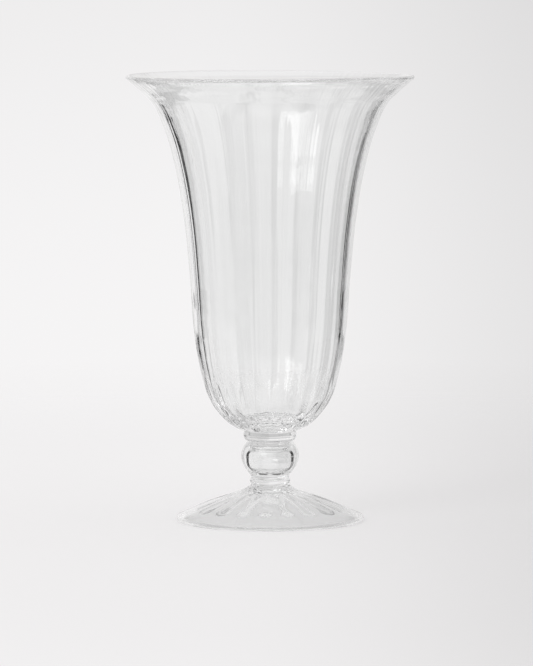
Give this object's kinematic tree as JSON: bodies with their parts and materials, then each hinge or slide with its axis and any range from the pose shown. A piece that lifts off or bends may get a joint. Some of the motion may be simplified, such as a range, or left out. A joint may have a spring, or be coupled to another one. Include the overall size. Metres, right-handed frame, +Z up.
{
  "type": "footed trumpet vase",
  "caption": "Tall clear glass vase: a flared, softly ribbed trumpet bowl on a hollow ball knop with a collar and a thin wafer, over a low ribbed foot.",
  "frame": {"origin": "middle of the flat ring that the foot stands on, on the vase's axis, at table level", "axes": "+Z up along the axis of the vase; X and Y lie in the table's plane, with a rib of the bowl and of the foot on +X"},
  "size_m": [0.245, 0.245, 0.38],
  "materials": {
    "bowl_glass": "clear blown glass, fire polished, with soft vertical ribs",
    "stem_glass": "clear blown glass, fire polished and smooth",
    "foot_glass": "clear blown glass, fire polished, with soft radial ribs"
  },
  "bodies": {
    "root": {"foot": "foot_glass", "wafer": "stem_glass", "knop": "stem_glass", "collar": "stem_glass", "bowl": "bowl_glass"}
  },
  "joints": []
}
